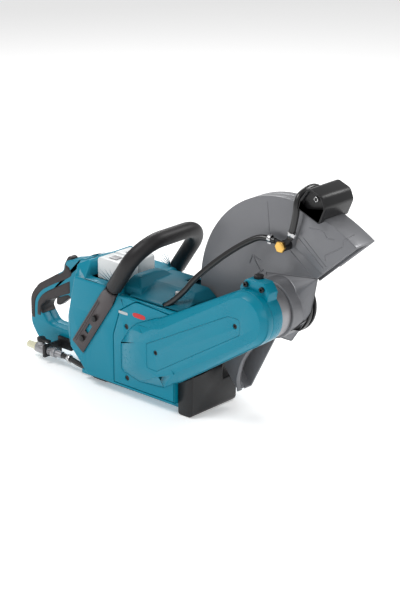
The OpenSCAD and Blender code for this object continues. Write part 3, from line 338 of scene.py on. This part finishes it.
# ---- Motor and controller ----
# The motor in its ribbed case, its fan, bearings and belt pulley, and the
# controller board behind it; all lie inside the housing.
bare = paint("cast_aluminium", (0.3, 0.3, 0.32), (0.36, 0.36, 0.37), 0.42, metal=0.7)
bright = paint("bright_steel", (0.5, 0.5, 0.51), (0.62, 0.62, 0.62), 0.26, metal=1.0)
dressed("motor_case", bare, "saw", "bare_aluminium", 0.8)
dressed("motor_stator", bright, "saw", "bright_steel", 0.2, steps=1)
dressed("motor_bearings", bright, "saw", "bright_steel", 0.2, steps=1)
dressed("motor_rotor", bright, "motor_shaft", "bright_steel", 0.3)
dressed("motor_pulley", bright, "motor_shaft", "bright_steel", 0.3)
dressed("cooling_fan", black, "motor_shaft", "black_plastic", 0.2, steps=1)
dressed("control_board", grey_plastic, "saw", "circuit_plastic", 0.3, steps=1)
dressed("drive_belt", rubber, "saw", "soft_rubber", 0.3, steps=1)

# ---- Drive arm ----
# Painted casting that carries the spindle, and its cover with the wide chamfer
# at the root and a shallow plain panel, held by two socket screws.
arm_paint = paint("arm_paint", (0.0, 0.2, 0.295), (0.0, 0.222, 0.322), 0.3, coat=0.04, bump=0.04, shine=0.25)
dressed("arm_base", arm_paint, "saw", "arm_casting", 1.2)
dressed("arm_cover", arm_paint, "saw", "arm_casting", 0.9, angle=24)
dressed("arm_screws", black_steel, "saw", "black_steel", 0.3, steps=2)
dressed("shaft_lock", black, "shaft_lock", "black_plastic", 1.0)

# ---- Spindle ----
# The machined bearing case pressed in the arm, the spindle with its bearings and
# pulley, and the two flanges that clamp the wheel, drawn up by one bolt.
dressed("bearing_case", bare, "saw", "bare_aluminium", 1.0)
dressed("spindle_bearings", bright, "saw", "bright_steel", 0.3, steps=1)
dressed("spindle", bright, "spindle_set", "bright_steel", 0.3)
dressed("spindle_pulley", bright, "spindle_set", "bright_steel", 0.3)
dark_flange = paint("blackened_flange", (0.014, 0.014, 0.015), (0.022, 0.022, 0.023), 0.3, metal=0.5)
dressed("inner_flange", dark_flange, "spindle_set", "bright_steel", 0.8)
dressed("outer_flange", dark_flange, "wheel_clamp", "bright_steel", 0.8)
dressed("flange_bolt", bright, "wheel_clamp", "bright_steel", 0.5)
dressed("guard_retainer", bright, "saw", "bright_steel", 0.3)

# ---- Wheel guard ----
# Two pressed shells in grey paint, joined round the rim, with small rounded edges,
# creases, an arrow mark and a folded lip at the lower opening.
guard_grey = paint("guard_paint", (0.155, 0.158, 0.17), (0.185, 0.188, 0.2), 0.36, metal=0.25, bump=0.04,
                   coat=0.15, spread=0.1)


dressed("guard_near_half", guard_grey, "guard", "guard_metal", 1.4, steps=4)
dressed("guard_far_half", guard_grey, "guard", "guard_metal", 1.4, steps=4)


def bead(name, points, width, height, skin, body, slot, out=(0, -1, 0), n=60):
    """A raised half-round line on a plate: at each point of the path a half ellipse of the
    given width and height, standing out along out, that thins to nothing at both ends."""
    p = along(points, n)
    t = np.gradient(p, axis=0)
    t /= np.linalg.norm(t, axis=1)[:, None]
    out = np.asarray(out, float)
    side = np.cross(t, out)
    a = np.linspace(0, np.pi, 9)
    ends = np.minimum(1, np.minimum(np.arange(n), np.arange(n)[::-1]) / 2.5)[:, None, None]
    grid = p[:, None] + width / 2 * np.cos(a)[None, :, None] * side[:, None] * (0.3 + 0.7 * ends)
    grid = grid + height * ends * np.sin(a)[None, :, None] * out
    grid = np.concatenate((grid, grid[:, -1:] - 0.3 * out, grid[:, :1] - 0.3 * out), axis=1)
    return carried(grid_mesh(name, grid, skin, wrap=True, caps=True), body, slot)


guard_lines = {
    "guard_crease": ([(-37, 172), (-34, 146), (-32, 119)], 1.6, 0.7),
    "guard_web_crease": ([(9, 100), (34, 82), (58, 62)], 1.6, 0.7),
    "turn_mark_shaft": ([(-49, 46), (-58, 58), (-66, 71)], 2.2, 1.3),
    "turn_mark_left": ([(-74, 55), (-71, 63), (-67, 72)], 2.2, 1.3),
    "turn_mark_right": ([(-66, 72), (-57, 68), (-49, 66)], 2.2, 1.3),
    "turn_mark_foot": ([(-56, 42), (-49, 46), (-43, 51)], 2.2, 1.3),
}
for name, (line, width, height) in guard_lines.items():
    bead(name, [(x, -17.5, z) for x, z in line], width, height, guard_grey, "guard", "guard_metal")
sheet = 1.8
lower_edge = [(246, 77), (239, 92), (235.5, 115), (234.4, 135), (235, 155), (236.6, 174), (239, 193),
    (242.2, 208)]


def folded_lip():
    """A lip folded in from the near plate's hollowed lower edge: at each point of the edge it
    runs 9 mm towards the far plate, and turns over by a quarter circle of 2 mm radius."""
    q = np.array([(r * math.cos(math.radians(a)), -17.3, r * math.sin(math.radians(a))) for a,
        r in lower_edge])
    p = along(q, 80)
    t = np.gradient(p, axis=0)
    t /= np.linalg.norm(t, axis=1)[:, None]
    inward = np.cross(t, (0, 1.0, 0))
    a = np.linspace(0, np.pi / 2, 6)
    across = np.concatenate((2 * np.sin(a) - 2, [0, 0]))
    down = np.concatenate((2 - 2 * np.cos(a), [5, 9]))
    grid = p[:, None] + across[None, :, None] * inward[:, None] + down[None, :, None] * np.array([0, 1.0, 0])
    o = grid_mesh("guard_folded_lip", grid, guard_grey)
    thick = o.modifiers.new("sheet", "SOLIDIFY")
    thick.thickness = sheet * MM
    thick.offset = 0
    return carried(o, "guard", "guard_metal")


folded_lip()

# ---- Guard hood ----
# The wider front hood riveted over the shells, with a double bead along its lower
# fold and a stepped seam pressed near the opening.
dressed("guard_hood", guard_grey, "guard", "guard_metal", 1.6, steps=4)
hood_lines = {
    "hood_bead_lower": [(36, 126), (64, 104), (90, 84)],
    "hood_bead_upper": [(45, 129), (71, 108), (96, 88)],
    "hood_seam_low": [(94, 97), (91, 106), (92, 108), (110, 119), (127, 130)],
    "hood_seam_high": [(127, 130), (127.5, 138), (129, 141), (140, 149), (150, 156)],
    "hood_press_mark": [(58, 147), (72, 148), (86, 148)],
    "hood_press_step": [(88, 147), (96, 138), (110, 139)],
}
for name, line in hood_lines.items():
    bead(name, [(x, -25, z) for x, z in line], 1.8, 0.8, guard_grey, "guard", "guard_metal", n=80)

# ---- Guard grip ----
# The black grip that turns the guard: a rounded bar over two hollow cheeks, with a
# bright socket screw and a smaller dark one in each.
dressed("guard_grip", black, "guard", "black_plastic", 2.2, angle=40, steps=4)
dressed("guard_screws", black_steel, "guard", "black_steel", 0.4)


def turned(name, profile, centre, axis, skin, body, slot, n=40):
    """A turned piece: each profile pair (distance along the axis, radius) swept round the axis."""
    w = np.asarray(axis, float)
    u = np.cross(w, (0.3, 0.9, 0.31))
    u /= np.linalg.norm(u)
    v = np.cross(w, u)
    s, r = np.asarray(profile, float).T
    a = np.linspace(0, 2 * np.pi, n, endpoint=False)
    ring = np.cos(a)[:, None] * u + np.sin(a)[:, None] * v
    grid = np.asarray(centre, float) + s[:, None, None] * w + r[:, None, None] * ring
    return carried(grid_mesh(name, grid, skin, wrap=True, caps=True), body, slot)


grip_angle = math.radians(69)
screw_radius = 188 + 27
screw_head = [(0, 4.6), (2.4, 4.6), (3.0, 4.1), (3.0, 2.4), (1.4, 2.2), (1.4, 0.05)]
for where, out in (("near", -1), ("far", 1)):
    middle = (screw_radius * math.cos(grip_angle), out * 30.5, screw_radius * math.sin(grip_angle))
    turned("grip_screw_" + where, screw_head, middle, (0, out, 0), bright, "guard", "black_steel")

# ---- Water line ----
# The inlet nipple and stop valve on a bracket by the rear handle, then one hose
# under and through the body and over to the union on the guard, and a short one
# over the grip to the union on the far side. Steel band clips hold the ends.
hose_rubber = paint("hose_rubber", (0.007, 0.007, 0.0075), (0.012, 0.012, 0.0125), 0.3, bump=0.1,
    grain=1500, shine=0.6)
nipple_look = paint("nipple_plastic", (0.62, 0.6, 0.42), (0.7, 0.68, 0.5), 0.35)
dressed("tee_fitting", black, "guard", "black_steel", 0.4, steps=2)
dressed("banjo_bolts", brass, "guard", "terminal_brass", 1.1)
dressed("hose_clamps", bright, "saw", "bright_steel", 0.4, steps=2)
dressed("guard_hose_clamps", bright, "guard", "bright_steel", 0.4, steps=2)
dressed("inlet_nipple", nipple_look, "saw", "nipple_plastic", 1.0)
dressed("valve_body", bare, "saw", "bare_aluminium", 0.7)
dressed("valve_lever", black, "valve_lever", "black_plastic", 1.2)
dressed("valve_bracket", black, "saw", "black_plastic", 0.8)


def hose(name, route, radius, node, rings=160):
    """A round hose: circles of the given radius square to a smooth path, with a slow waver in the wall."""
    p = along(route, rings)
    t = np.gradient(p, axis=0)
    t /= np.linalg.norm(t, axis=1)[:, None]
    side = np.cross(t, (0.25, 0.93, 0.27))
    side /= np.linalg.norm(side, axis=1)[:, None]
    up = np.cross(t, side)
    a = np.linspace(0, 2 * np.pi, 28, endpoint=False)
    wall = radius * (1 - 0.008 + 0.008 * np.sin(np.linspace(0, 40, rings)))[:, None, None]
    grid = p[:, None] + wall * (np.cos(a)[None, :, None] * side[:, None] + np.sin(a)[None, :,
        None] * up[:, None])
    o = grid_mesh(name, grid, hose_rubber, wrap=True, caps=True)
    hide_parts(node)
    return o


def eased(points):
    """The middles of the spans of a route, with its two ends: the smooth hose passes through these."""
    p = np.asarray(points, float)
    return np.vstack((p[:1], (p[1:-2] + p[2:-1]) / 2, p[-1:]))


upper = [(-201, -97, -36), (-194, -98, -31), (-182, -97, -20), (-163, -92, -5), (-147, -85, 18), (-133,
    -77, 37),
         (-104, -63, 65), (-77, -49, 90), (-48, -38, 108), (-25, -30.5, 117), (-8, -29.5, 112)]
cross = [(24, -30, 124), (29, -32, 138), (36, -33, 160), (37.5, -33, 178), (37.5, -31, 192), (39, -22,
    201), (39, -8, 205),
         (38, 8, 205), (37, 22, 201), (36, 32, 190), (32, 33, 170), (29, 32, 138), (24, 30, 124)]
lower = [(-464, -83, -196), (-448, -83, -196), (-432, -84, -200), (-405, -85, -202), (-370.4, -88, -202.5),
         (-335.4, -95, -202), (-305.4, -98, -200), (-280.4, -98, -195), (-262, -97, -180), (-254, -97, -160),
         (-250, -97, -130), (-248, -97, -100), (-240, -97, -72), (-226, -97, -54), (-210, -97, -43),
             (-202, -97, -37)]
upper_hose = hose("upper_hose_shown", eased(upper), 5.2, "upper_hose")
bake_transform(upper_hose)
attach(hose("crossover_hose_shown", eased(cross), 5.72, "crossover_hose"), "guard")
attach(hose("lower_hose_shown", eased(lower), 5.2, "lower_hose"), "saw")

# ---- Front handle ----
# One bent steel tube, flattened at both ends into feet with two pressed ribs and
# a slot, bolted to the sides of the housing; a rubber sleeve covers the arch.
tube_paint = paint("handle_paint", (0.055, 0.047, 0.049), (0.07, 0.06, 0.062), 0.36, metal=0.45)
dressed("front_handle_tube", tube_paint, "saw", "handle_steel", 0.5, steps=2)
dressed("front_handle_sleeve", rubber, "saw", "soft_rubber", 0.8, steps=2)
dressed("front_handle_bolts", black_steel, "saw", "black_steel", 0.8)
slope = np.radians(55)
up_slope = np.array([np.cos(slope), 0, np.sin(slope)])
over = np.array([np.sin(slope), 0, -np.cos(slope)])
for y, out, where in ((-112.8, -1, "near"), (52.8, 1, "far")):
    foot = np.array([-349, y, -87])
    for k, off in enumerate((-13.5, -9.3)):
        line = [foot + v * up_slope + off * over for v in (-75, -30, 10, 38)]
        bead(f"foot_rib_{where}_{k}", line, 2.4, 1.1, tube_paint, "saw", "handle_steel", out=(0, out, 0))
